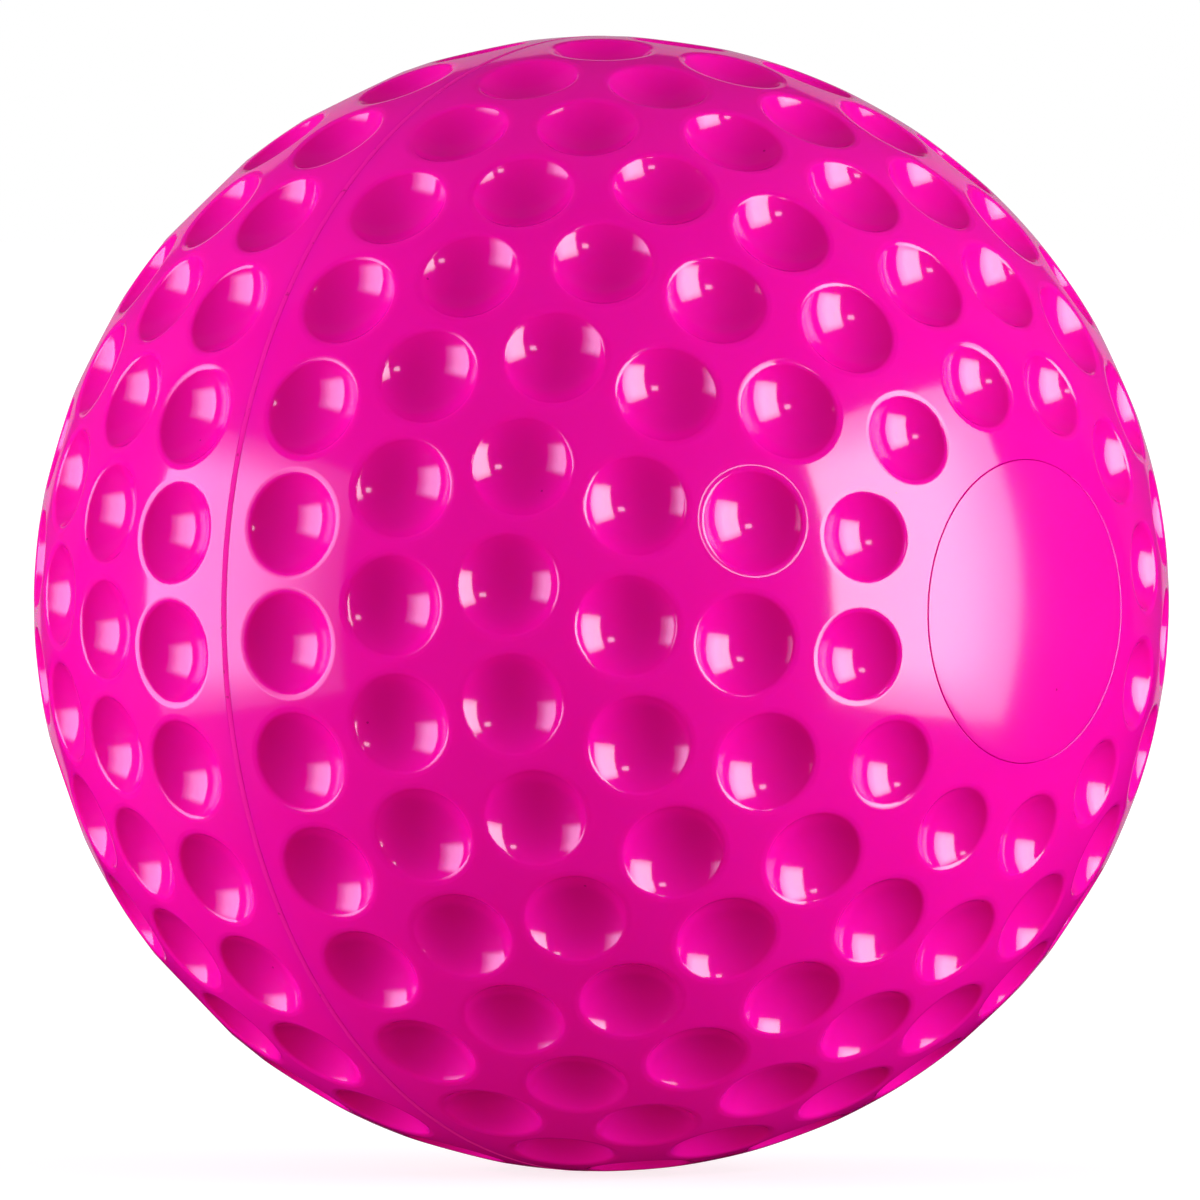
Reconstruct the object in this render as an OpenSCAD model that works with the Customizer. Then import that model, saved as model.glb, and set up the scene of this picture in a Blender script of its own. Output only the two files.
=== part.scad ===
// Dimpled ball for a cricket bowling machine: two moulded half covers, bonded at a lipped seam over a light core,
// with a smooth round plug at each pole.
// Origin at the ball's centre, +X along the mould axis through the two plugs, +Z up. Millimetres.

/* [Ball] */
// Diameter over the land between the dimples
ball_d = 72; // [66:0.5:80]
// Thickness of the cover, from the land to the core
cover_t = 9; // [7:0.25:12]

/* [Dimples] */
// Diameter of a dimple's rim, before its edge is broken
dimple_d = 6.3; // [4:0.1:7.5]
// Depth of a dimple below the land
dimple_depth = 1.6; // [0.6:0.05:2]
// Rim diameter in the ring of dimples beside each plug
end_dimple_d = 5.5; // [4:0.1:6.3]
// Depth of the dimples in that ring
end_dimple_depth = 1.4; // [0.6:0.05:2]
// Least land between the rims along a ring
dimple_land = 1; // [0.9:0.05:3]
// Land between one ring of rims and the next
ring_land = 1.1; // [1:0.05:3]
// Land between the seam and the first ring of rims
seam_land = 1.7; // [1:0.1:4]
// Least land between a plug and the ring of rims beside it
plug_land = 0.8; // [0.6:0.1:3]
// Width of the broken edge on the land round a rim
rim_break = 0.2; // [0.05:0.01:0.25]
// Slope of the broken edge
rim_slope = 20; // [15:1:30]

/* [Seam] */
// Thickness of the bond between the two half covers
bond_t = 0.4; // [0.2:0.05:0.6]
// Height of the bond's edge above the land
bond_proud = 0.05; // [0.01:0.01:0.15]
// Length of the lip that centres one half cover in the other
lip_len = 3; // [1.5:0.25:5]
// Thickness of the lip
lip_t = 4; // [2.5:0.25:5]
// Turn of the far half cover about the mould axis
far_turn = 5.1; // [0:0.1:12]

/* [Plugs] */
// Diameter of a plug's face
plug_d = 18.9; // [14:0.1:22]
// Thickness of a plug's head at its edge
plug_head_t = 3; // [2:0.25:4.5]
// Diameter of a plug's stem
stem_d = 9; // [6:0.5:12]
// Clearance round a plug's head and stem
plug_gap = 0.06; // [0.05:0.01:0.2]

/* [Hidden] */
$fn = 96;

cover_colour = "#e20893";
bond_colour = "#b80667";
plug_colour = "#ee1fa0";
core_colour = "#d9cdb4";

ball_r = ball_d / 2;
core_r = ball_r - cover_t;
lip_r = core_r + lip_t;
plug_r = plug_d / 2;
stem_r = stem_d / 2;

// Height of a plug's seat above the ball's centre
seat_h = on_sphere(ball_r, plug_r) - plug_head_t;

// Rings of dimples, laid out by arc length from the seam towards the pole
first_ring = seam_land + dimple_d / 2;
ring_step = dimple_d + ring_land;
dimple_step = dimple_d + dimple_land;
plug_arc = ball_r * radians(90 - asin((plug_r + plug_gap) / ball_r));
last_ring = plug_arc - plug_land - rim_break - end_dimple_d / 2;
rings = 1 + floor((last_ring - first_ring) / ring_step);

// Turn of each ring about the mould axis, from the seam to the pole, in degrees
ring_turns = [8.9, 8.3, 3.3, 9.5, 20.7, 10.3];

// Spare length of a cut past the face that it opens
past = 1;

function radians(angle) = angle * PI / 180;
function degrees(arc) = arc / ball_r * 180 / PI;
// Height on a sphere of radius r at a distance from its axis
function on_sphere(r, from_axis) = sqrt(r * r - from_axis * from_axis);
function ring_latitude(ring) = degrees(first_ring + ring * ring_step);
function ring_count(ring) = floor(2 * PI * ball_r * cos(ring_latitude(ring)) / dimple_step);
function is_end_ring(ring) = ring == rings - 1;

// Half plane of a section, from one height to another: x is the distance from the mould axis, y is along it
module section_band(low, high, inner = 0, outer = ball_r + past) {
    translate([inner, low]) square([outer - inner, high - low]);
}

// Space for a plug's head and stem, larger than the plug by gap
module plug_section(gap) {
    section_band(seat_h, ball_r + past, outer = plug_r + gap);
    section_band(0, seat_h + past / 2, outer = stem_r + gap);
}

// Section of the cover above its shoulder at the seam, with its plug's seat
module cover_section(shoulder) {
    difference() {
        circle(r = ball_r);
        circle(r = core_r);
        section_band(-ball_r - past, shoulder, inner = -ball_r - past);
        section_band(-ball_r - past, ball_r + past, inner = -ball_r - past, outer = 0);
        plug_section(plug_gap);
    }
}

// Section of the lip that reaches past the seam, inside the other half cover
module lip_section() {
    difference() {
        section_band(-lip_len, bond_t, inner = core_r - cover_t / 2, outer = lip_r);
        circle(r = core_r);
    }
}

// Recess for that lip and the bond round it
module lip_recess_section() {
    section_band(-past, lip_len + bond_t, outer = lip_r + bond_t);
}

// Cutter for one dimple on the +Z axis: a ball-ended form with a broken edge where it leaves the land
module dimple_cutter(rim_d, depth) {
    rim_r = rim_d / 2;
    rim_h = on_sphere(ball_r, rim_r);
    cap_h = rim_h - (ball_r - depth);
    cap_r = (rim_r * rim_r + cap_h * cap_h) / (2 * cap_h);
    rise = rim_break * tan(rim_slope);
    break_h = on_sphere(ball_r, rim_r + rim_break);
    rotate_extrude() {
        intersection() {
            translate([0, ball_r - depth + cap_r]) circle(r = cap_r);
            section_band(ball_r - depth - past, rim_h);
        }
        polygon([
            [0, break_h - 3 * rise],
            [rim_r - 2 * rim_break, break_h - 3 * rise],
            [rim_r + 2 * rim_break, break_h + rise],
            [rim_r + 2 * rim_break, ball_r + past],
            [0, ball_r + past]
        ]);
    }
}

module dimple_cutters() {
    for (ring = [0 : rings - 1]) {
        count = ring_count(ring);
        turn = ring_turns[ring % len(ring_turns)];
        for (i = [0 : count - 1]) {
            rotate([0, 90 - ring_latitude(ring), turn + i * 360 / count])
                if (is_end_ring(ring)) dimple_cutter(end_dimple_d, end_dimple_depth);
                else dimple_cutter(dimple_d, dimple_depth);
        }
    }
}

// Places a piece made about +Z on the near pole's axis
module on_near_side() {
    rotate([0, 90, 0]) children();
}

// Places it on the far pole's axis: the near side turned over, then clocked about the mould axis
module on_far_side() {
    rotate([-far_turn, 0, 0]) rotate([0, 0, 180]) on_near_side() children();
}

module near_half_cover() {
    color(cover_colour) on_near_side() difference() {
        rotate_extrude() {
            cover_section(bond_t / 2);
            lip_section();
        }
        dimple_cutters();
    }
}

module far_half_cover() {
    color(cover_colour) on_far_side() difference() {
        rotate_extrude() difference() {
            cover_section(bond_t / 2);
            lip_recess_section();
        }
        dimple_cutters();
    }
}

// Bond that fills the joint between the two half covers and shows as the ball's seam
module seam_bond() {
    color(bond_colour) on_near_side() rotate_extrude() difference() {
        union() {
            section_band(-bond_t / 2, bond_t / 2, inner = lip_r, outer = ball_r + bond_proud);
            section_band(-lip_len - bond_t, bond_t / 2, inner = lip_r, outer = lip_r + bond_t);
            section_band(-lip_len - bond_t, -lip_len, inner = core_r - cover_t / 2, outer = lip_r + bond_t);
        }
        circle(r = core_r);
    }
}

module core() {
    color(core_colour) on_near_side() sphere(r = core_r);
}

// Plug with a domed face that is flush with the land
module pole_plug() {
    color(plug_colour) rotate_extrude() difference() {
        intersection() {
            circle(r = ball_r);
            plug_section(0);
        }
        circle(r = core_r);
    }
}

module near_pole_plug() {
    on_near_side() pole_plug();
}

module far_pole_plug() {
    on_far_side() pole_plug();
}

near_half_cover();
far_half_cover();
seam_bond();
core();
near_pole_plug();
far_pole_plug();
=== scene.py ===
import math

import bmesh
import bpy
from mathutils import Matrix, Vector


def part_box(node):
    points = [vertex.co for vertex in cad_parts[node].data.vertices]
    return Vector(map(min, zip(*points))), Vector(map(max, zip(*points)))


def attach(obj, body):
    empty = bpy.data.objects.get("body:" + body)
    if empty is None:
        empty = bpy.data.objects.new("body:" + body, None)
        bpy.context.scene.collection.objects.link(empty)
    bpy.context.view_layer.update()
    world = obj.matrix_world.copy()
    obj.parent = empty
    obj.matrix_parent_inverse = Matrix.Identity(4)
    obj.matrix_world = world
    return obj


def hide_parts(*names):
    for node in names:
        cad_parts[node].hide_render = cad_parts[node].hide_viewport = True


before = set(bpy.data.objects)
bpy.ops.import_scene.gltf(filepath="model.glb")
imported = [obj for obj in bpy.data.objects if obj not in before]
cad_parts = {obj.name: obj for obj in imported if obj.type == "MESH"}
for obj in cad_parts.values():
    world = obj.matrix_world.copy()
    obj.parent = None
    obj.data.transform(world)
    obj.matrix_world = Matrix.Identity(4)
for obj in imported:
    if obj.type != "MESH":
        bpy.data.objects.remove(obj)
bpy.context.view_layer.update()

# Looks of a dimpled ball for a cricket bowling machine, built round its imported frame.
# Metres. The origin is the ball's centre, +X is the mould axis through the two plugs, and +Z is up.
# Each moulding is made about +Z, as its mould is turned, and is then laid on the mould axis.

MM = 0.001
MICRON = 1e-6

# Sizes that the frame gives
BALL_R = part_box("near_pole_plug")[1].x
CORE_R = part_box("core")[1].x
PLUG_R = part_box("near_pole_plug")[1].z
SHOULDER = -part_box("far_half_cover")[1].x
LIP_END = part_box("near_half_cover")[0].x
BOND_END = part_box("seam_bond")[0].x

# Joint between the half covers
LIP_T = 4 * MM
LIP_R = CORE_R + LIP_T
RECESS_R = LIP_R + 2 * SHOULDER
SEAM_ROUND = 0.03 * MM
FAR_TURN = math.radians(5.1)

# Bead of the bond where it shows: crest above the land, fall to its sides, crack beside each half cover, and
# depth of the groove that the crack leads to
BEAD_CREST = 0.01 * MM
BEAD_FALL = 0.015 * MM
NEAR_CRACK = 0.008 * MM
FAR_CRACK = 0.004 * MM
GROOVE_DEPTH = 0.05 * MM

# Unevenness of the bead: range of its height and of its place sideways, and how far apart its waves are
BEAD_RISE = 0.05 * MM
BEAD_SWAY = 0.11 * MM
BEAD_WAVE = 1.5 * MM
BEAD_SEED = 4.0

# Plugs and their seats, which close to a hairline
PLUG_GAP = 0.03 * MM
PLUG_ROUND = 0.06 * MM
HEAD_T = 3 * MM
STEM_R = 4.5 * MM
SEAT_R = PLUG_R + PLUG_GAP
BORE_R = STEM_R + PLUG_GAP
SEAT_H = math.sqrt(BALL_R ** 2 - PLUG_R ** 2) - HEAD_T

# Dimples: rim radius as if the rim were sharp, depth below the land, and the round that the rim has.
# The land falls a little towards each rim, in a shallow dish whose two radii are shares of the rim's radius.
DIMPLE_R = 3.15 * MM
DIMPLE_DEPTH = 1.6 * MM
END_DIMPLE_R = 2.75 * MM
END_DIMPLE_DEPTH = 1.4 * MM
RIM_ROUND = 0.3 * MM
DISH_FALL = 0.085 * MM
DISH_OUTER = 1.143
DISH_INNER = 0.95

# Rings of dimples from the seam towards the pole: land left between the rims, and each ring's turn in
# degrees. The last ring is the one beside the plug, with the end dimples.
SEAM_LAND = 1.7 * MM
RING_LAND = 1.1 * MM
DIMPLE_LAND = 1 * MM
RING_TURNS = [8.9, 8.3, 3.3, 9.5, 20.7, 10.3]

# Fineness of the meshes
TURN_SEGMENTS = 240
BEAD_SEGMENTS = 900
DIMPLE_SEGMENTS = 36
CAP_LOOPS = 6
RIM_LOOPS = 6
DISH_LOOPS = 4
ROUND_STEPS = 5
SPHERE_STEPS = 20
SHARP_ANGLE = math.radians(40)

# Points closer than this are welded: on a sphere of radius 1, and at the ball's own size
WELD_UNIT = 1e-4
WELD = 6 * MICRON

# Camera, from the photograph's frame of 1200 pixels
FRAME_PIXELS = 1200
VIEW_AZIMUTH = math.radians(40.57)
VIEW_ELEVATION = math.radians(1.24)
VIEW_DISTANCE = 34 * BALL_R
LENS_MM = 578.9
BALL_RIGHT_PIXELS = 1.4
BALL_DOWN_PIXELS = 3.6
VIEW_END = 50

# Stage
LIGHT_DISTANCE = 0.6
FLOOR_R = 20
FLOOR_SEGMENTS = 96

# Colour sockets of a Mix node, whose names it also gives to sockets of other kinds
MIX_A = 6
MIX_B = 7
MIX_RESULT = 2

LAY_NEAR = Matrix.Rotation(math.radians(90), 4, "Y")
LAY_FAR = Matrix.Rotation(-FAR_TURN, 4, "X") @ Matrix.Rotation(math.radians(180), 4, "Z") @ LAY_NEAR


def colour(code):
    """Linear colour of an sRGB hex code."""
    channels = [int(code[i:i + 2], 16) / 255 for i in (1, 3, 5)]
    linear = [c / 12.92 if c <= 0.04045 else ((c + 0.055) / 1.055) ** 2.4 for c in channels]
    return (*linear, 1.0)


def add(tree, kind, inputs=None, **settings):
    """Adds a node with its settings and gives the node's outputs.
    Each input takes a value, or the output that feeds it."""
    node = tree.nodes.new(kind)
    for name, value in settings.items():
        setattr(node, name, value)
    for key, value in (inputs or {}).items():
        if isinstance(value, bpy.types.NodeSocket):
            tree.links.new(value, node.inputs[key])
        else:
            node.inputs[key].default_value = value
    return node.outputs


def new_tree(name, inputs, outputs):
    """A geometry tree with named inputs and outputs.
    Gives the tree, the sockets that bring its inputs in and the sockets that take its results."""
    tree = bpy.data.node_groups.new(name, "GeometryNodeTree")
    for label, kind in inputs.items():
        tree.interface.new_socket(label, in_out="INPUT", socket_type="NodeSocket" + kind)
    for label, kind in outputs.items():
        tree.interface.new_socket(label, in_out="OUTPUT", socket_type="NodeSocket" + kind)
    given = add(tree, "NodeGroupInput")
    result = tree.nodes.new("NodeGroupOutput").inputs
    return tree, given, result


def join(tree, *geometries):
    """Joins geometries in the order given."""
    node = tree.nodes.new("GeometryNodeJoinGeometry")
    for geometry in reversed(geometries):
        tree.links.new(geometry, node.inputs[0])
    return node.outputs[0]


# Materials

def start_material(name):
    """A material, its tree and the coordinates of the object that wears it."""
    material = bpy.data.materials.new(name)
    material.use_nodes = True
    tree = material.node_tree
    tree.nodes.clear()
    place = add(tree, "ShaderNodeTexCoord")["Object"]
    return material, tree, place


def end_material(tree, shader):
    """Links the shader to the material's surface."""
    add(tree, "ShaderNodeOutputMaterial", {"Surface": shader})


def moulded_pvc(name, smoothest, dullest):
    """Hard PVC from a mould: deep magenta that light sinks into a little, under a clear gloss with a faint
    orange peel. Handling has left hairline scratches and a few specks. The two numbers are the ends of its
    roughness."""
    material, tree, place = start_material(name)
    cloud = add(tree, "ShaderNodeTexNoise", {"Vector": place, "Scale": 1 / (9 * MM), "Detail": 3.0})[0]
    peel = add(tree, "ShaderNodeTexNoise", {"Vector": place, "Scale": 1 / (1.6 * MM), "Detail": 2.0})[0]

    # Scratches follow the walls of large bent cells, and only where a broad noise is high
    bend = add(tree, "ShaderNodeTexNoise", {"Vector": place, "Scale": 1 / (6 * MM), "Detail": 1.0})["Color"]
    bend_size = (8 * MM, 8 * MM, 8 * MM)
    bent = add(tree, "ShaderNodeVectorMath", {0: bend, 1: bend_size, 2: place}, operation="MULTIPLY_ADD")[0]
    wall = add(tree, "ShaderNodeTexVoronoi", {"Vector": bent, "Scale": 1 / (7 * MM)},
               feature="DISTANCE_TO_EDGE")[0]
    line = add(tree, "ShaderNodeMapRange", {
        "Value": wall, "From Max": 0.003, "To Min": 1.0, "To Max": 0.0})[0]
    handled = add(tree, "ShaderNodeTexNoise", {"Vector": place, "Scale": 1 / (14 * MM), "Detail": 4.0})[0]
    worn = add(tree, "ShaderNodeMapRange", {"Value": handled, "From Min": 0.55, "From Max": 0.7})[0]
    scratch = add(tree, "ShaderNodeMath", {0: line, 1: worn}, operation="MULTIPLY")[0]

    # A speck sits at the middle of a few small cells
    cell = add(tree, "ShaderNodeTexVoronoi", {"Vector": place, "Scale": 1 / (2.4 * MM)})
    dot = add(tree, "ShaderNodeMath", {0: cell["Distance"], 1: 0.035}, operation="LESS_THAN")[0]
    chance = add(tree, "ShaderNodeSeparateColor", {0: cell["Color"]})[0]
    rare = add(tree, "ShaderNodeMath", {0: chance, 1: 0.8}, operation="GREATER_THAN")[0]
    speck = add(tree, "ShaderNodeMath", {0: dot, 1: rare}, operation="MULTIPLY")[0]

    clean = add(tree, "ShaderNodeMix", {
        "Factor": cloud, MIX_A: colour("#e00895"), MIX_B: colour("#e90c9c")}, data_type="RGBA")[MIX_RESULT]
    body = add(tree, "ShaderNodeMix", {
        "Factor": speck, MIX_A: clean, MIX_B: colour("#a8026a")}, data_type="RGBA")[MIX_RESULT]
    polish = add(tree, "ShaderNodeMapRange", {"Value": cloud, "To Min": smoothest, "To Max": dullest})[0]
    gloss = add(tree, "ShaderNodeMath", {0: scratch, 1: 0.15, 2: polish}, operation="MULTIPLY_ADD")[0]
    height = add(tree, "ShaderNodeMath", {0: scratch, 1: -0.2, 2: peel}, operation="MULTIPLY_ADD")[0]
    bump = add(tree, "ShaderNodeBump", {"Height": height, "Strength": 1.0, "Distance": 2 * MICRON})[0]
    shader = add(tree, "ShaderNodeBsdfPrincipled", {
        "Base Color": body,
        "Roughness": gloss,
        "IOR": 1.53,
        "Specular IOR Level": 0.6,
        "Subsurface Weight": 0.3,
        "Subsurface Radius": (1.0, 0.1, 0.35),
        "Subsurface Scale": 1.5 * MM,
        "Normal": bump,
    })[0]
    end_material(tree, shader)
    return material


def fused_pvc():
    """PVC squeezed out of the joint and fused: the mouldings' colour, with a dull skin, streaks and burnt
    specks."""
    material, tree, place = start_material("fused_magenta_pvc")
    streak = add(tree, "ShaderNodeTexNoise", {"Vector": place, "Scale": 1 / (1.5 * MM), "Detail": 4.0})[0]
    burn = add(tree, "ShaderNodeTexNoise", {"Vector": place, "Scale": 1 / (0.5 * MM), "Detail": 2.0})[0]
    burnt = add(tree, "ShaderNodeMapRange", {"Value": burn, "From Min": 0.66, "From Max": 0.76})[0]
    clean = add(tree, "ShaderNodeMix", {
        "Factor": streak, MIX_A: colour("#d6048a"), MIX_B: colour("#e00692")}, data_type="RGBA")[MIX_RESULT]
    body = add(tree, "ShaderNodeMix", {
        "Factor": burnt, MIX_A: clean, MIX_B: colour("#a0025c")}, data_type="RGBA")[MIX_RESULT]
    bump = add(tree, "ShaderNodeBump", {"Height": streak, "Strength": 1.0, "Distance": 10 * MICRON})[0]
    shader = add(tree, "ShaderNodeBsdfPrincipled", {
        "Base Color": body,
        "Roughness": 0.6,
        "Specular IOR Level": 0.06,
        "Normal": bump,
    })[0]
    end_material(tree, shader)
    return material


def expanded_foam():
    """Expanded foam: a pale, matt mass of closed cells about a millimetre across."""
    material, tree, place = start_material("expanded_foam")
    cells = add(tree, "ShaderNodeTexVoronoi", {"Vector": place, "Scale": 1 / (1.2 * MM)},
                feature="DISTANCE_TO_EDGE")[0]
    wall = add(tree, "ShaderNodeMapRange", {
        "Value": cells, "From Max": 0.15, "To Min": 1.0, "To Max": 0.0})[0]
    body = add(tree, "ShaderNodeMix", {
        "Factor": wall, MIX_A: colour("#d9cdb4"), MIX_B: colour("#ece3cf")}, data_type="RGBA")[MIX_RESULT]
    bump = add(tree, "ShaderNodeBump", {"Height": wall, "Strength": 0.5, "Distance": 0.1 * MM})[0]
    shader = add(tree, "ShaderNodeBsdfPrincipled", {
        "Base Color": body,
        "Roughness": 0.85,
        "Normal": bump,
    })[0]
    end_material(tree, shader)
    return material


# Turned forms

def arc(centre, radius, start, end, steps):
    """Points (distance from the axis, height) along an arc of a section."""
    turns = [start + (end - start) * i / steps for i in range(steps + 1)]
    return [(centre[0] + radius * math.cos(t), centre[1] + radius * math.sin(t)) for t in turns]


def lathe(name, section, segments, closed=False):
    """Turns a section about +Z. A point of the section on the axis becomes one vertex."""
    shape = bmesh.new()
    rows = []
    for r, z in section:
        if r == 0:
            rows.append([shape.verts.new((0, 0, z))] * segments)
            continue
        turns = [math.tau * i / segments for i in range(segments)]
        rows.append([shape.verts.new((r * math.cos(t), r * math.sin(t), z)) for t in turns])
    pairs = list(zip(rows, rows[1:]))
    if closed:
        pairs.append((rows[-1], rows[0]))
    for row, following in pairs:
        for i in range(segments):
            corners = [row[i], row[i - 1], following[i - 1], following[i]]
            shape.faces.new(list(dict.fromkeys(corners)))
    bmesh.ops.recalc_face_normals(shape, faces=shape.faces)
    mesh = bpy.data.meshes.new(name)
    shape.to_mesh(mesh)
    shape.free()
    return mesh


def seam_edge():
    """Rounded edge of a half cover at its shoulder, from the skin to the shoulder."""
    height = SHOULDER + SEAM_ROUND
    inset = math.sqrt((BALL_R - SEAM_ROUND) ** 2 - height ** 2)
    return arc((inset, height), SEAM_ROUND, math.atan2(height, inset), -math.pi / 2, ROUND_STEPS)


def seat_edge():
    """Rounded edge of a plug's seat, from the seat's wall to the skin."""
    out = SEAT_R + PLUG_ROUND
    height = math.sqrt((BALL_R - PLUG_ROUND) ** 2 - out ** 2)
    return arc((out, height), PLUG_ROUND, math.pi, math.atan2(height, out), ROUND_STEPS)


def cover_lining(name, joint_r, joint_end):
    """All of a half cover but its skin: seam edge, joint, bore for the core, plug's bore and seat."""
    bore = arc((0, 0), CORE_R, math.asin(joint_end / CORE_R), math.acos(BORE_R / CORE_R), SPHERE_STEPS)
    section = seam_edge() + [(joint_r, SHOULDER), (joint_r, joint_end)] + bore
    section += [(BORE_R, SEAT_H), (SEAT_R, SEAT_H)] + seat_edge()
    return lathe(name, section, TURN_SEGMENTS)


# Skin of a half cover, by Geometry Nodes

def dimple_sizes(rim_r, depth):
    """Sizes of a dimple: a ball-ended hollow, its rim rounded into the dish that the land makes round it."""
    rim_h = math.sqrt(BALL_R ** 2 - rim_r ** 2)
    cap_h = rim_h - (BALL_R - depth + DISH_FALL)
    cap_r = (rim_r ** 2 + cap_h ** 2) / (2 * cap_h)
    centre = rim_h - cap_h + cap_r
    round_centre = BALL_R - RIM_ROUND
    span = cap_r + RIM_ROUND
    edge = math.acos((centre ** 2 + round_centre ** 2 - span ** 2) / (2 * centre * round_centre))
    across = round_centre * math.sin(edge) * cap_r / span
    along = centre + (round_centre * math.cos(edge) - centre) * cap_r / span
    dish_outer = DISH_OUTER * rim_r / BALL_R
    dish_inner = DISH_INNER * rim_r / BALL_R
    return {
        "Cap Radius": cap_r,
        "Cap Centre": centre,
        "Join Angle": math.atan2(across, along),
        "Edge Angle": edge,
        "Dish Outer": dish_outer,
        "Dish Inner": dish_inner,
        "Dish Slope": 6 * DISH_FALL / (dish_outer - dish_inner) / BALL_R,
    }


def ring_tree():
    """Points of one ring of dimples on a sphere of radius 1."""
    tree, given, result = new_tree(
        "dimple_ring", {"Count": "Int", "Latitude": "Float", "Turn": "Float"}, {"Points": "Geometry"})
    step = add(tree, "ShaderNodeMath", {0: math.tau, 1: given["Count"]}, operation="DIVIDE")[0]
    index = add(tree, "GeometryNodeInputIndex")[0]
    turn = add(tree, "ShaderNodeMath", {0: index, 1: step, 2: given["Turn"]}, operation="MULTIPLY_ADD")[0]
    out = add(tree, "ShaderNodeMath", {0: given["Latitude"]}, operation="COSINE")[0]
    up = add(tree, "ShaderNodeMath", {0: given["Latitude"]}, operation="SINE")[0]
    first = add(tree, "ShaderNodeCombineXYZ", {"X": out, "Z": up})[0]
    place = add(tree, "ShaderNodeVectorRotate", {"Vector": first, "Angle": turn}, rotation_type="Z_AXIS")[0]
    points = add(tree, "GeometryNodePoints", {"Count": given["Count"], "Position": place})[0]
    tree.links.new(points, result["Points"])
    return tree


def patch_tree():
    """Round patch of a sphere of radius 1, its pole at the origin, with loops close together at the rim."""
    tree, given, result = new_tree(
        "dimple_patch",
        {"Join Angle": "Float", "Edge Angle": "Float", "Dish Outer": "Float"},
        {"Patch": "Geometry"})
    loops = CAP_LOOPS + RIM_LOOPS + DISH_LOOPS
    grid = add(tree, "GeometryNodeMeshGrid", {"Vertices X": DIMPLE_SEGMENTS + 1, "Vertices Y": loops + 1})
    spot = add(tree, "ShaderNodeSeparateXYZ", {0: grid["UV Map"]})
    turn = add(tree, "ShaderNodeMath", {0: spot["X"], 1: -math.tau}, operation="MULTIPLY")[0]
    rim_width = add(tree, "ShaderNodeMath", {
        0: given["Edge Angle"], 1: given["Join Angle"]}, operation="SUBTRACT")[0]
    dish_width = add(tree, "ShaderNodeMath", {
        0: given["Dish Outer"], 1: given["Edge Angle"]}, operation="SUBTRACT")[0]
    bands = [(CAP_LOOPS, given["Join Angle"]), (RIM_LOOPS, rim_width), (DISH_LOOPS, dish_width)]
    angle = 0.0
    first_loop = 0
    for count, width in bands:
        share = add(tree, "ShaderNodeMapRange", {
            "Value": spot["Y"], "From Min": first_loop / loops, "From Max": (first_loop + count) / loops,
            "To Max": width})[0]
        angle = add(tree, "ShaderNodeMath", {0: share, 1: angle}, operation="ADD")[0]
        first_loop += count
    out = add(tree, "ShaderNodeMath", {0: angle}, operation="SINE")[0]
    height = add(tree, "ShaderNodeMath", {0: angle}, operation="COSINE")[0]
    below_pole = add(tree, "ShaderNodeMath", {0: height, 1: 1.0}, operation="SUBTRACT")[0]
    first = add(tree, "ShaderNodeCombineXYZ", {"X": out, "Z": below_pole})[0]
    place = add(tree, "ShaderNodeVectorRotate", {"Vector": first, "Angle": turn}, rotation_type="Z_AXIS")[0]
    disc = add(tree, "GeometryNodeSetPosition", {"Geometry": grid["Mesh"], "Position": place})[0]
    patch = add(tree, "GeometryNodeMergeByDistance", {"Geometry": disc, "Distance": WELD_UNIT})[0]
    tree.links.new(patch, result["Patch"])
    return tree


def reach_tree():
    """Distance from the ball's centre to a round form, along a line at an angle to the line to the form's
    centre. Side is -1 for the form's near side and 1 for its far side."""
    tree, given, result = new_tree(
        "reach",
        {"Centre": "Float", "Angle": "Float", "Radius": "Float", "Side": "Float"},
        {"Reach": "Float"})
    cosine = add(tree, "ShaderNodeMath", {0: given["Angle"]}, operation="COSINE")[0]
    sine = add(tree, "ShaderNodeMath", {0: given["Angle"]}, operation="SINE")[0]
    along = add(tree, "ShaderNodeMath", {0: given["Centre"], 1: cosine}, operation="MULTIPLY")[0]
    across = add(tree, "ShaderNodeMath", {0: given["Centre"], 1: sine}, operation="MULTIPLY")[0]
    across_sq = add(tree, "ShaderNodeMath", {0: across, 1: across}, operation="MULTIPLY")[0]
    radius_sq = add(tree, "ShaderNodeMath", {
        0: given["Radius"], 1: given["Radius"]}, operation="MULTIPLY")[0]
    left = add(tree, "ShaderNodeMath", {0: radius_sq, 1: across_sq}, operation="SUBTRACT")[0]
    half = add(tree, "ShaderNodeMath", {0: left}, operation="SQRT")[0]
    reach = add(tree, "ShaderNodeMath", {0: half, 1: given["Side"], 2: along}, operation="MULTIPLY_ADD")[0]
    tree.links.new(reach, result["Reach"])
    return tree


BALL_INPUTS = {"Ball Radius": "Float", "Rim Round": "Float", "Dish Fall": "Float"}
DIMPLE_INPUTS = {
    "Cap Radius": "Float", "Cap Centre": "Float", "Join Angle": "Float", "Edge Angle": "Float",
    "Dish Outer": "Float", "Dish Inner": "Float", "Dish Slope": "Float",
}


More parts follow.
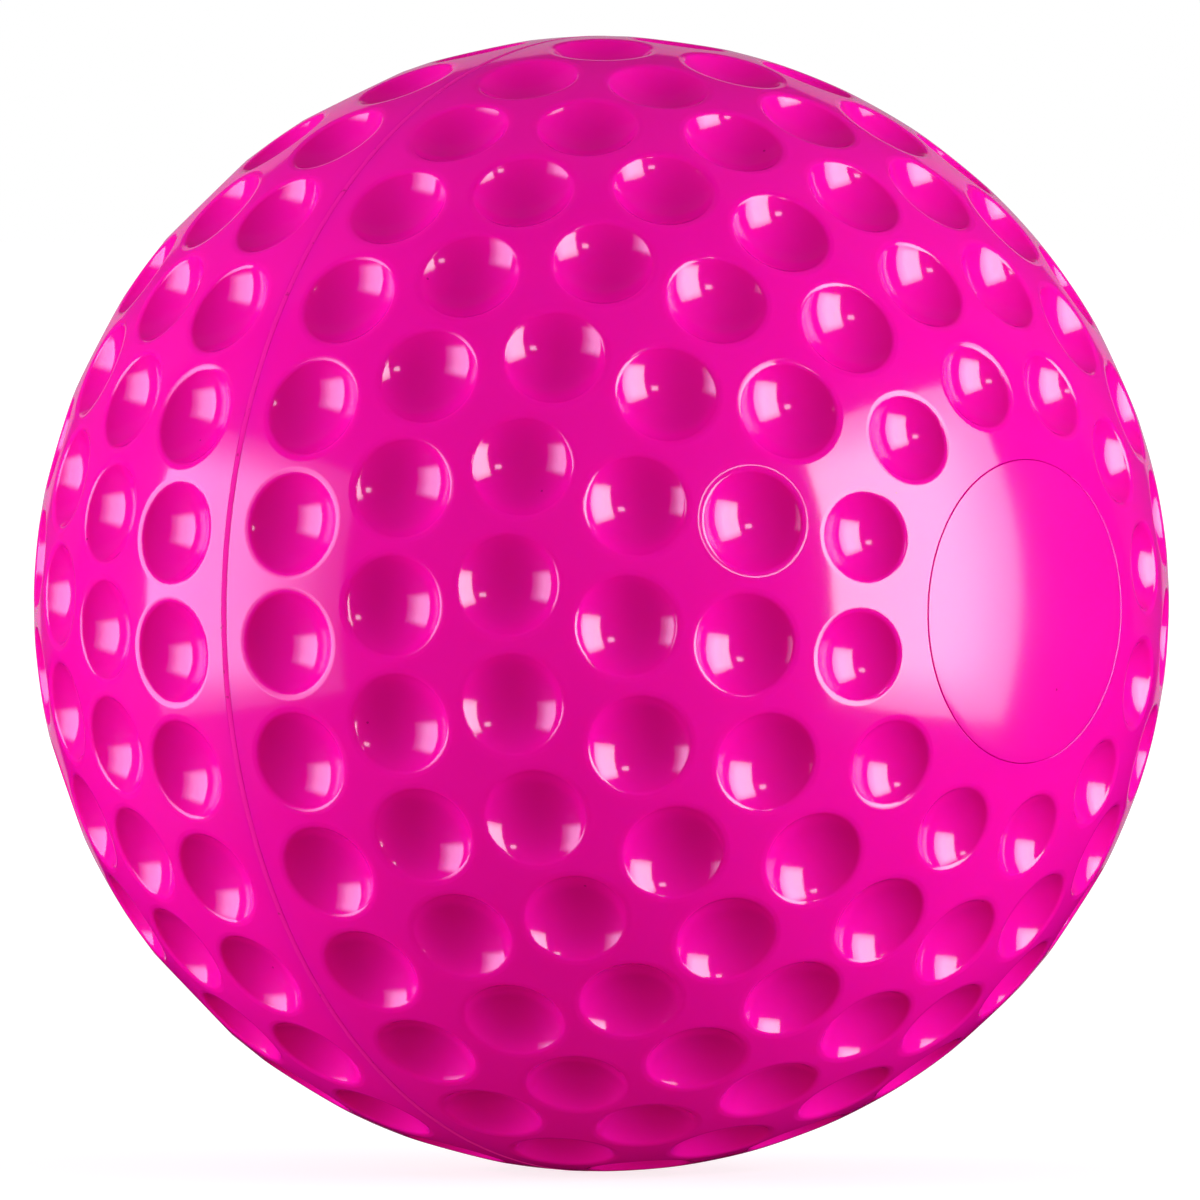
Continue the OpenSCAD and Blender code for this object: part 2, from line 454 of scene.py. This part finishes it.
def form_tree(reach):
    """Form of the land with its nearest dimple: distance from the ball's centre, and direction that the skin
    faces."""
    tree, given, result = new_tree(
        "dimple_form", {"Points": "Geometry", **BALL_INPUTS, **DIMPLE_INPUTS},
        {"Inside": "Bool", "Reach": "Float", "Facing": "Vector"})
    position = add(tree, "GeometryNodeInputPosition")[0]
    ray = add(tree, "ShaderNodeVectorMath", {0: position}, operation="NORMALIZE")[0]
    nearest = add(tree, "GeometryNodeSampleNearest", {
        "Geometry": given["Points"], "Sample Position": ray})[0]
    axis = add(tree, "GeometryNodeSampleIndex", {
        "Geometry": given["Points"], "Index": nearest, "Value": position}, data_type="FLOAT_VECTOR")[0]
    chord = add(tree, "ShaderNodeVectorMath", {0: ray, 1: axis}, operation="DISTANCE")["Value"]
    half_chord = add(tree, "ShaderNodeMath", {0: chord, 1: 0.5}, operation="MULTIPLY")[0]
    half_angle = add(tree, "ShaderNodeMath", {0: half_chord}, operation="ARCSINE")[0]
    angle = add(tree, "ShaderNodeMath", {0: half_angle, 1: 2.0}, operation="MULTIPLY")[0]
    in_cap = add(tree, "ShaderNodeMath", {0: angle, 1: given["Join Angle"]}, operation="LESS_THAN")[0]
    in_rim = add(tree, "ShaderNodeMath", {0: angle, 1: given["Edge Angle"]}, operation="LESS_THAN")[0]
    in_dish = add(tree, "ShaderNodeMath", {0: angle, 1: given["Dish Outer"]}, operation="LESS_THAN")[0]

    cap_reach = add(tree, "GeometryNodeGroup", {
        "Centre": given["Cap Centre"], "Angle": angle, "Radius": given["Cap Radius"], "Side": -1.0},
        node_tree=reach)[0]
    round_centre = add(tree, "ShaderNodeMath", {
        0: given["Ball Radius"], 1: given["Rim Round"]}, operation="SUBTRACT")[0]
    past_edge = add(tree, "ShaderNodeMath", {0: angle, 1: given["Edge Angle"]}, operation="SUBTRACT")[0]
    rim_reach = add(tree, "GeometryNodeGroup", {
        "Centre": round_centre, "Angle": past_edge, "Radius": given["Rim Round"], "Side": 1.0},
        node_tree=reach)[0]
    hollow_reach = add(tree, "GeometryNodeSwitch", {
        "Switch": in_cap, "False": rim_reach, "True": cap_reach}, input_type="FLOAT")[0]
    level_reach = add(tree, "GeometryNodeSwitch", {
        "Switch": in_rim, "False": given["Ball Radius"], "True": hollow_reach}, input_type="FLOAT")[0]

    spot = add(tree, "ShaderNodeVectorMath", {0: ray, "Scale": hollow_reach}, operation="SCALE")[0]
    cap_point = add(tree, "ShaderNodeVectorMath", {
        0: axis, "Scale": given["Cap Centre"]}, operation="SCALE")[0]
    cap_facing = add(tree, "ShaderNodeVectorMath", {0: cap_point, 1: spot}, operation="SUBTRACT")[0]
    edge_sine = add(tree, "ShaderNodeMath", {0: given["Edge Angle"]}, operation="SINE")[0]
    past_sine = add(tree, "ShaderNodeMath", {0: past_edge}, operation="SINE")[0]
    ray_share = add(tree, "ShaderNodeVectorMath", {0: ray, "Scale": edge_sine}, operation="SCALE")[0]
    axis_share = add(tree, "ShaderNodeVectorMath", {0: axis, "Scale": past_sine}, operation="SCALE")[0]
    edge_sum = add(tree, "ShaderNodeVectorMath", {0: ray_share, 1: axis_share}, operation="ADD")[0]
    edge_ray = add(tree, "ShaderNodeVectorMath", {0: edge_sum}, operation="NORMALIZE")[0]
    rim_point = add(tree, "ShaderNodeVectorMath", {
        0: edge_ray, "Scale": round_centre}, operation="SCALE")[0]
    rim_facing = add(tree, "ShaderNodeVectorMath", {0: spot, 1: rim_point}, operation="SUBTRACT")[0]
    hollow_facing = add(tree, "GeometryNodeSwitch", {
        "Switch": in_cap, "False": rim_facing, "True": cap_facing}, input_type="VECTOR")[0]
    level_facing = add(tree, "GeometryNodeSwitch", {
        "Switch": in_rim, "False": ray, "True": hollow_facing}, input_type="VECTOR")[0]
    level_facing = add(tree, "ShaderNodeVectorMath", {0: level_facing}, operation="NORMALIZE")[0]

    # The dish lowers all of this, and leans it towards the dimple by its slope. It falls as a smoothstep, so
    # its slope goes with the share of its width that is passed times the share that is left.
    dish = {"Value": angle, "From Min": given["Dish Outer"], "From Max": given["Dish Inner"]}
    share = add(tree, "ShaderNodeMapRange", dish)[0]
    fall = add(tree, "ShaderNodeMapRange", {
        **dish, "To Max": given["Dish Fall"]}, interpolation_type="SMOOTHSTEP")[0]
    rest = add(tree, "ShaderNodeMath", {0: 1.0, 1: share}, operation="SUBTRACT")[0]
    both = add(tree, "ShaderNodeMath", {0: share, 1: rest}, operation="MULTIPLY")[0]
    slope = add(tree, "ShaderNodeMath", {0: both, 1: given["Dish Slope"]}, operation="MULTIPLY")[0]
    upright = add(tree, "ShaderNodeVectorMath", {
        0: level_facing, 1: axis}, operation="DOT_PRODUCT")["Value"]
    lean = add(tree, "ShaderNodeMath", {0: slope, 1: upright}, operation="MULTIPLY")[0]
    inward = add(tree, "ShaderNodeVectorMath", {0: axis, 1: ray}, operation="SUBTRACT")[0]
    inward = add(tree, "ShaderNodeVectorMath", {0: inward}, operation="NORMALIZE")[0]
    leaning = add(tree, "ShaderNodeVectorMath", {0: inward, "Scale": lean}, operation="SCALE")[0]
    facing = add(tree, "ShaderNodeVectorMath", {0: level_facing, 1: leaning}, operation="ADD")[0]
    facing = add(tree, "ShaderNodeVectorMath", {0: facing}, operation="NORMALIZE")[0]
    reach_here = add(tree, "ShaderNodeMath", {0: level_reach, 1: fall}, operation="SUBTRACT")[0]
    tree.links.new(in_dish, result["Inside"])
    tree.links.new(reach_here, result["Reach"])
    tree.links.new(facing, result["Facing"])
    return tree


def skin_tree():
    """Skin of a half cover with its rings of dimples, welded to the lining that is given."""
    sizes = {"Seam Edge": "Float", "Plug Edge": "Float"}
    sizes.update(BALL_INPUTS)
    sizes.update(DIMPLE_INPUTS)
    sizes.update({"End " + label: kind for label, kind in DIMPLE_INPUTS.items()})
    tree, given, result = new_tree(
        "dimpled_skin", {"Lining": "Geometry", **sizes, "Material": "Material"}, {"Half Cover": "Geometry"})

    rings = ring_tree()
    ring_points = []
    for number, turn in enumerate(RING_TURNS):
        latitude = (SEAM_LAND + DIMPLE_R + number * (2 * DIMPLE_R + RING_LAND)) / BALL_R
        count = math.floor(math.tau * BALL_R * math.cos(latitude) / (2 * DIMPLE_R + DIMPLE_LAND))
        ring_points.append(add(tree, "GeometryNodeGroup", {
            "Count": count, "Latitude": latitude, "Turn": math.radians(turn)}, node_tree=rings)[0])
    point_sets = {"": join(tree, *ring_points[:-1]), "End ": ring_points[-1]}

    position = add(tree, "GeometryNodeInputPosition")[0]
    upright = add(tree, "FunctionNodeAlignRotationToVector", {"Vector": position}, axis="Z")[0]
    patches = patch_tree()
    placed = []
    for label, points in point_sets.items():
        edges = {name: given[label + name] for name in ("Join Angle", "Edge Angle", "Dish Outer")}
        patch = add(tree, "GeometryNodeGroup", edges, node_tree=patches)[0]
        placed.append(add(tree, "GeometryNodeInstanceOnPoints", {
            "Points": points, "Instance": patch, "Rotation": upright})[0])
    hollows = add(tree, "GeometryNodeRealizeInstances", {0: join(tree, *placed)})[0]

    # The land between the rims is filled on a flat map of the half sphere, seen from the other pole
    beside = add(tree, "GeometryNodeInputMeshEdgeNeighbors")[0]
    on_edge = add(tree, "FunctionNodeCompare", {"A": beside, "B": 1}, data_type="INT", operation="EQUAL")[0]
    rims = add(tree, "GeometryNodeMeshToCurve", {"Mesh": hollows, "Selection": on_edge})[0]
    height = add(tree, "ShaderNodeSeparateXYZ", {0: position})["Z"]
    from_pole = add(tree, "ShaderNodeMath", {0: height, 1: 1.0}, operation="ADD")[0]
    flat = add(tree, "ShaderNodeVectorMath", {0: position, 1: (1.0, 1.0, 0.0)}, operation="MULTIPLY")[0]
    shrink = add(tree, "ShaderNodeMath", {0: 1.0, 1: from_pole}, operation="DIVIDE")[0]
    on_map = add(tree, "ShaderNodeVectorMath", {0: flat, "Scale": shrink}, operation="SCALE")[0]
    borders = [add(tree, "GeometryNodeSetPosition", {"Geometry": rims, "Position": on_map})[0]]
    for label in ("Seam Edge", "Plug Edge"):
        half = add(tree, "ShaderNodeMath", {0: given[label], 1: 0.5}, operation="MULTIPLY")[0]
        radius = add(tree, "ShaderNodeMath", {0: half}, operation="TANGENT")[0]
        borders.append(add(tree, "GeometryNodeCurvePrimitiveCircle", {
            "Resolution": TURN_SEGMENTS, "Radius": radius})[0])
    sheet = add(tree, "GeometryNodeFillCurve", {"Curve": join(tree, *borders)})[0]
    map_sq = add(tree, "ShaderNodeVectorMath", {0: position, 1: position}, operation="DOT_PRODUCT")["Value"]
    map_sum = add(tree, "ShaderNodeMath", {0: map_sq, 1: 1.0}, operation="ADD")[0]
    grow = add(tree, "ShaderNodeMath", {0: 2.0, 1: map_sum}, operation="DIVIDE")[0]
    raised = add(tree, "ShaderNodeVectorMath", {0: position, "Scale": grow}, operation="SCALE")[0]
    lift = add(tree, "ShaderNodeMath", {0: grow, 1: 1.0}, operation="SUBTRACT")[0]
    lift_up = add(tree, "ShaderNodeCombineXYZ", {"Z": lift})[0]
    on_ball = add(tree, "ShaderNodeVectorMath", {0: raised, 1: lift_up}, operation="ADD")[0]
    land = add(tree, "GeometryNodeSetPosition", {"Geometry": sheet, "Position": on_ball})[0]

    whole = add(tree, "GeometryNodeMergeByDistance", {
        "Geometry": join(tree, hollows, land), "Distance": WELD_UNIT})[0]

    forms = {}
    form = form_tree(reach_tree())
    for label, points in point_sets.items():
        values = {name: given[label + name] for name in DIMPLE_INPUTS}
        values.update({name: given[name] for name in BALL_INPUTS})
        values["Points"] = points
        forms[label] = add(tree, "GeometryNodeGroup", values, node_tree=form)
    reach = add(tree, "GeometryNodeSwitch", {
        "Switch": forms["End "]["Inside"], "False": forms[""]["Reach"], "True": forms["End "]["Reach"]},
        input_type="FLOAT")[0]
    facing = add(tree, "GeometryNodeSwitch", {
        "Switch": forms["End "]["Inside"], "False": forms[""]["Facing"], "True": forms["End "]["Facing"]},
        input_type="VECTOR")[0]
    marked = add(tree, "GeometryNodeStoreNamedAttribute", {
        "Geometry": whole, "Name": "facing", "Value": facing}, data_type="FLOAT_VECTOR", domain="POINT")[0]
    ray = add(tree, "ShaderNodeVectorMath", {0: position}, operation="NORMALIZE")[0]
    place = add(tree, "ShaderNodeVectorMath", {0: ray, "Scale": reach}, operation="SCALE")[0]
    skin = add(tree, "GeometryNodeSetPosition", {"Geometry": marked, "Position": place})[0]

    half_cover = add(tree, "GeometryNodeMergeByDistance", {
        "Geometry": join(tree, skin, given["Lining"]), "Distance": WELD})[0]
    real = add(tree, "GeometryNodeRealizeInstances", {0: half_cover})[0]
    dressed = add(tree, "GeometryNodeSetMaterial", {"Geometry": real, "Material": given["Material"]})[0]
    tree.links.new(dressed, result["Half Cover"])
    return tree


def grow_mesh(name, base, tree, values):
    """Runs a geometry tree on a mesh and gives the object with the result as a plain mesh."""
    piece = bpy.data.objects.new(name, base)
    bpy.context.scene.collection.objects.link(piece)
    modifier = piece.modifiers.new(tree.name, "NODES")
    modifier.node_group = tree
    for item in tree.interface.items_tree:
        if item.in_out == "INPUT" and item.name in values:
            modifier[item.identifier] = values[item.name]
    depsgraph = bpy.context.evaluated_depsgraph_get()
    mesh = bpy.data.meshes.new_from_object(
        piece.evaluated_get(depsgraph), preserve_all_data_layers=True, depsgraph=depsgraph)
    piece.modifiers.clear()
    piece.data = mesh
    bpy.data.meshes.remove(base)
    mesh.name = name
    return piece


def shade(mesh, matrix):
    """Smooth faces with sharp corners. Points that know which way the skin faces are shaded by that."""
    mesh.shade_smooth()
    mesh.set_sharp_from_angle(angle=SHARP_ANGLE)
    if "facing" not in mesh.attributes:
        return
    turn = matrix.to_3x3()
    known = [turn @ Vector(point.vector) for point in mesh.attributes["facing"].data]
    mesh.attributes.remove(mesh.attributes["facing"])
    mesh.normals_split_custom_set_from_vertices([v.normalized() if v.length > 0 else v for v in known])


def finish_piece(piece, matrix, slot, *nodes):
    """Lays a piece on the mould axis and hands it to the frame."""
    piece.data.transform(matrix)
    shade(piece.data, matrix)
    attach(piece, "root")
    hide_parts(*nodes)


def half_covers(material):
    """The two dimpled mouldings: the near one has the lip, and the far one the recess for it."""
    tree = skin_tree()
    seam_start = seam_edge()[0]
    seat_end = seat_edge()[-1]
    values = {
        "Seam Edge": math.atan2(seam_start[0], seam_start[1]),
        "Plug Edge": math.atan2(seat_end[0], seat_end[1]),
        "Ball Radius": BALL_R,
        "Rim Round": RIM_ROUND,
        "Dish Fall": DISH_FALL,
        "Material": material,
    }
    values.update(dimple_sizes(DIMPLE_R, DIMPLE_DEPTH))
    end_sizes = dimple_sizes(END_DIMPLE_R, END_DIMPLE_DEPTH)
    values.update({"End " + name: size for name, size in end_sizes.items()})
    near = grow_mesh("near_cover_moulding", cover_lining("near_lining", LIP_R, LIP_END), tree, values)
    finish_piece(near, LAY_NEAR, "cover", "near_half_cover")
    far = grow_mesh("far_cover_moulding", cover_lining("far_lining", RECESS_R, -BOND_END), tree, values)
    finish_piece(far, LAY_FAR, "cover", "far_half_cover")


def seam_bead(material):
    """Fused bond in the joint. Its bead is about flush with the land and uneven, as squeezed plastic is."""
    core_out = math.sqrt(CORE_R ** 2 - LIP_END ** 2)
    core_in = math.sqrt(CORE_R ** 2 - BOND_END ** 2)
    near_side = SHOULDER - NEAR_CRACK
    far_side = FAR_CRACK - SHOULDER
    steps = 2 * ROUND_STEPS
    shares = [2 * i / steps - 1 for i in range(steps + 1)]
    crest = [(BALL_R + BEAD_CREST - BEAD_FALL * share ** 2,
              near_side + (far_side - near_side) * (share + 1) / 2) for share in shares]
    section = [(BALL_R - GROOVE_DEPTH, SHOULDER)] + crest + [(BALL_R - GROOVE_DEPTH, -SHOULDER)]
    section += [(RECESS_R, -SHOULDER), (RECESS_R, BOND_END), (core_in, BOND_END)]
    section += [(core_out, LIP_END), (LIP_R, LIP_END), (LIP_R, SHOULDER)]
    base = lathe("seam_section", section, BEAD_SEGMENTS, closed=True)

    tree, given, result = new_tree(
        "uneven_bead",
        {"Bond": "Geometry", "Crest From": "Float", "Rise": "Float", "Sway": "Float", "Wave": "Float",
         "Seed": "Float", "Material": "Material"},
        {"Bead": "Geometry"})
    position = add(tree, "GeometryNodeInputPosition")[0]
    ray = add(tree, "ShaderNodeVectorMath", {0: position}, operation="NORMALIZE")[0]
    out = add(tree, "ShaderNodeVectorMath", {0: position}, operation="LENGTH")["Value"]
    on_crest = add(tree, "ShaderNodeMath", {0: out, 1: given["Crest From"]}, operation="GREATER_THAN")[0]
    scale = add(tree, "ShaderNodeMath", {0: 1.0, 1: given["Wave"]}, operation="DIVIDE")[0]
    noise = add(tree, "ShaderNodeTexNoise", {
        "Vector": position, "W": given["Seed"], "Scale": scale, "Detail": 3.0},
        noise_dimensions="4D")["Color"]
    uneven = add(tree, "ShaderNodeVectorMath", {0: noise, 1: (0.5, 0.5, 0.5)}, operation="SUBTRACT")[0]
    ways = add(tree, "ShaderNodeSeparateXYZ", {0: uneven})
    rise = add(tree, "ShaderNodeMath", {0: ways["X"], 1: given["Rise"]}, operation="MULTIPLY")[0]
    sway = add(tree, "ShaderNodeMath", {0: ways["Y"], 1: given["Sway"]}, operation="MULTIPLY")[0]
    aside = add(tree, "ShaderNodeCombineXYZ", {"Z": sway})[0]
    offset = add(tree, "ShaderNodeVectorMath", {0: ray, "Scale": rise}, operation="SCALE")[0]
    offset = add(tree, "ShaderNodeVectorMath", {0: offset, 1: aside}, operation="ADD")[0]
    bead = add(tree, "GeometryNodeSetPosition", {
        "Geometry": given["Bond"], "Selection": on_crest, "Offset": offset})[0]
    real = add(tree, "GeometryNodeRealizeInstances", {0: bead})[0]
    dressed = add(tree, "GeometryNodeSetMaterial", {"Geometry": real, "Material": given["Material"]})[0]
    tree.links.new(dressed, result["Bead"])

    piece = grow_mesh("seam_bead", base, tree, {
        "Crest From": BALL_R - GROOVE_DEPTH / 2,
        "Rise": BEAD_RISE,
        "Sway": BEAD_SWAY,
        "Wave": BEAD_WAVE,
        "Seed": BEAD_SEED,
        "Material": material,
    })
    finish_piece(piece, LAY_NEAR, "bond", "seam_bond")


def pole_plugs(material):
    """Smooth plugs with a domed face that is flush with the land."""
    inset = PLUG_R - PLUG_ROUND
    height = math.sqrt((BALL_R - PLUG_ROUND) ** 2 - inset ** 2)
    lean = math.atan2(height, inset)
    section = [(0, BALL_R)] + arc((0, 0), BALL_R, math.pi / 2, lean, SPHERE_STEPS)[1:]
    section += arc((inset, height), PLUG_ROUND, lean, 0, ROUND_STEPS)[1:]
    section += [(PLUG_R, SEAT_H), (STEM_R, SEAT_H)]
    foot = arc((0, 0), CORE_R, math.acos(STEM_R / CORE_R), math.pi / 2, ROUND_STEPS)
    section += foot[:-1] + [(0, CORE_R)]
    for side, matrix in (("near", LAY_NEAR), ("far", LAY_FAR)):
        mesh = lathe(side + "_plug_moulding", section, TURN_SEGMENTS)
        mesh.materials.append(material)
        plug = bpy.data.objects.new(side + "_plug_moulding", mesh)
        bpy.context.scene.collection.objects.link(plug)
        finish_piece(plug, matrix, "plug", side + "_pole_plug")


def foam_core():
    """The core keeps its frame shape and takes the foam's finish."""
    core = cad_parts["core"]
    core.data.materials.clear()
    core.data.materials.append(expanded_foam())


# Stage

TO_CAMERA = Vector((
    math.sin(VIEW_AZIMUTH) * math.cos(VIEW_ELEVATION),
    -math.cos(VIEW_AZIMUTH) * math.cos(VIEW_ELEVATION),
    math.sin(VIEW_ELEVATION)))
RIGHT = Vector((math.cos(VIEW_AZIMUTH), math.sin(VIEW_AZIMUTH), 0))
UP = TO_CAMERA.cross(RIGHT)


def studio_camera():
    """Camera at the photograph's angle, with the ball a little off the frame's middle."""
    camera = bpy.data.cameras.new("studio_camera")
    camera.lens = LENS_MM
    camera.shift_x = -BALL_RIGHT_PIXELS / FRAME_PIXELS
    camera.shift_y = BALL_DOWN_PIXELS / FRAME_PIXELS
    camera.clip_end = VIEW_END
    stand = bpy.data.objects.new("studio_camera", camera)
    stand.location = TO_CAMERA * VIEW_DISTANCE
    stand.rotation_euler = TO_CAMERA.to_track_quat("Z", "Y").to_euler()
    bpy.context.scene.collection.objects.link(stand)
    bpy.context.scene.camera = stand


def softbox(name, tint, right, up, width, height, edge, radiance):
    """Area light aimed at the ball. Its place is in degrees to the right of the camera and above it. It fades
    towards one side, the top and the bottom, and edge is the share of its brightness that is left there."""
    right = math.radians(right)
    up = math.radians(up)
    toward = (TO_CAMERA * math.cos(right) + RIGHT * math.sin(right)) * math.cos(up) + UP * math.sin(up)
    light = bpy.data.lights.new(name, "AREA")
    light.shape = "RECTANGLE"
    light.size = width
    light.size_y = height
    light.energy = radiance * math.pi * width * height
    light.use_nodes = True
    tree = light.node_tree
    tree.nodes.clear()
    spot = add(tree, "ShaderNodeSeparateXYZ", {0: add(tree, "ShaderNodeNewGeometry")["Parametric"]})
    across = add(tree, "ShaderNodeMapRange", {
        "Value": spot["X"], "From Min": 1.0, "From Max": 0.5}, interpolation_type="SMOOTHSTEP")[0]
    off_middle = add(tree, "ShaderNodeMath", {0: spot["Y"], 1: 0.5}, operation="SUBTRACT")[0]
    from_middle = add(tree, "ShaderNodeMath", {0: off_middle}, operation="ABSOLUTE")[0]
    along = add(tree, "ShaderNodeMapRange", {
        "Value": from_middle, "From Min": 0.5, "From Max": 0.3}, interpolation_type="SMOOTHSTEP")[0]
    middle = add(tree, "ShaderNodeMath", {0: across, 1: along}, operation="MULTIPLY")[0]
    glow = add(tree, "ShaderNodeMapRange", {"Value": middle, "To Min": edge})[0]
    emission = add(tree, "ShaderNodeEmission", {"Color": colour(tint), "Strength": glow})[0]
    add(tree, "ShaderNodeOutputLight", {"Surface": emission})
    lamp = bpy.data.objects.new(name, light)
    lamp.location = toward * LIGHT_DISTANCE
    lamp.rotation_euler = toward.to_track_quat("Z", "Y").to_euler()
    lamp.visible_camera = False
    bpy.context.scene.collection.objects.link(lamp)
    return lamp


def studio_lights():
    """Two softboxes beside the ball for its highlights, and a small window that shows as a dash in each
    dimple. A fill on each side lights only the body colour. A wall behind and a dim ceiling show only in the
    gloss, at the sides and top of the outline."""
    # Name, tint, degrees to the right and up, width and height in metres, share left at the edges, radiance
    softbox("left_softbox", "#dcd6ff", -77.5, 4.5, 0.56, 0.45, 0.15, 5.5)
    right = softbox("right_softbox", "#fbfaff", 68.9, 7.8, 0.506, 0.58, 0.45, 8.2)
    right.visible_diffuse = False
    right_fill = softbox("right_fill", "#e8e0ff", 70.7, 3.0, 0.461, 0.565, 0.5, 7.4)
    right_fill.visible_glossy = False
    softbox("small_window", "#f0f0ff", 29.0, 18.0, 0.105, 0.07, 1.0, 7.0)
    fill = softbox("left_fill", "#ffffff", -95.0, 0.0, 0.7, 0.7, 1.0, 2.1)
    fill.visible_glossy = False
    wall = softbox("wall_behind", "#ffdcf0", 180.0, 12.0, 0.5, 0.42, 1.0, 0.42)
    wall.visible_diffuse = False
    ceiling = softbox("dim_ceiling", "#ffdcf0", 180.0, 42.0, 1.6, 1.2, 1.0, 0.04)
    ceiling.visible_diffuse = False


def studio_world():
    """White surroundings for the camera, and a fill for the body colour that is dimmer and warmer from below,
    as light that comes back from a floor is. The gloss doesn't mirror them."""
    world = bpy.data.worlds.new("studio")
    bpy.context.scene.world = world
    world.use_nodes = True
    world.cycles_visibility.glossy = False
    tree = world.node_tree
    tree.nodes.clear()
    seen = add(tree, "ShaderNodeLightPath")["Is Camera Ray"]
    way = add(tree, "ShaderNodeTexCoord")["Generated"]
    height = add(tree, "ShaderNodeSeparateXYZ", {0: way})["Z"]
    above = add(tree, "ShaderNodeMapRange", {"Value": height, "From Min": -1.0, "From Max": 1.0})[0]
    tone = add(tree, "ShaderNodeMix", {
        "Factor": above, MIX_A: colour("#d39e96"), MIX_B: colour("#ffffff")}, data_type="RGBA")[MIX_RESULT]
    fill = add(tree, "ShaderNodeBackground", {"Color": tone, "Strength": 0.66})[0]
    white = add(tree, "ShaderNodeBackground", {"Color": colour("#ffffff"), "Strength": 1.0})[0]
    mix = add(tree, "ShaderNodeMixShader", {0: seen, 1: fill, 2: white})[0]
    add(tree, "ShaderNodeOutputWorld", {"Surface": mix})


def studio_floor():
    """Pale floor that runs to white away from the ball, so it has no horizon. Only the camera sees it,
    because the softboxes reach below it."""
    material, tree, place = start_material("pale_floor")
    from_ball = add(tree, "ShaderNodeVectorMath", {0: place}, operation="LENGTH")["Value"]
    glow = add(tree, "ShaderNodeMapRange", {
        "Value": from_ball, "From Min": 0.04, "From Max": 1.2, "To Min": 0.79, "To Max": 1.0},
        interpolation_type="SMOOTHSTEP")[0]
    shader = add(tree, "ShaderNodeBsdfPrincipled", {
        "Base Color": colour("#929c96"),
        "Roughness": 0.9,
        "Emission Color": colour("#ffffff"),
        "Emission Strength": glow,
    })[0]
    end_material(tree, shader)
    shape = bmesh.new()
    bmesh.ops.create_circle(shape, cap_ends=True, segments=FLOOR_SEGMENTS, radius=FLOOR_R)
    mesh = bpy.data.meshes.new("pale_floor")
    shape.to_mesh(mesh)
    shape.free()
    mesh.materials.append(material)
    floor = bpy.data.objects.new("pale_floor", mesh)
    floor.location.z = -BALL_R
    floor.visible_diffuse = False
    floor.visible_glossy = False
    floor.visible_shadow = False
    bpy.context.scene.collection.objects.link(floor)


half_covers(moulded_pvc("gloss_magenta_pvc", 0.07, 0.1))
seam_bead(fused_pvc())
pole_plugs(moulded_pvc("satin_magenta_pvc", 0.12, 0.17))
foam_core()
studio_camera()
studio_lights()
studio_world()
studio_floor()
bpy.context.scene.view_settings.view_transform = "Standard"
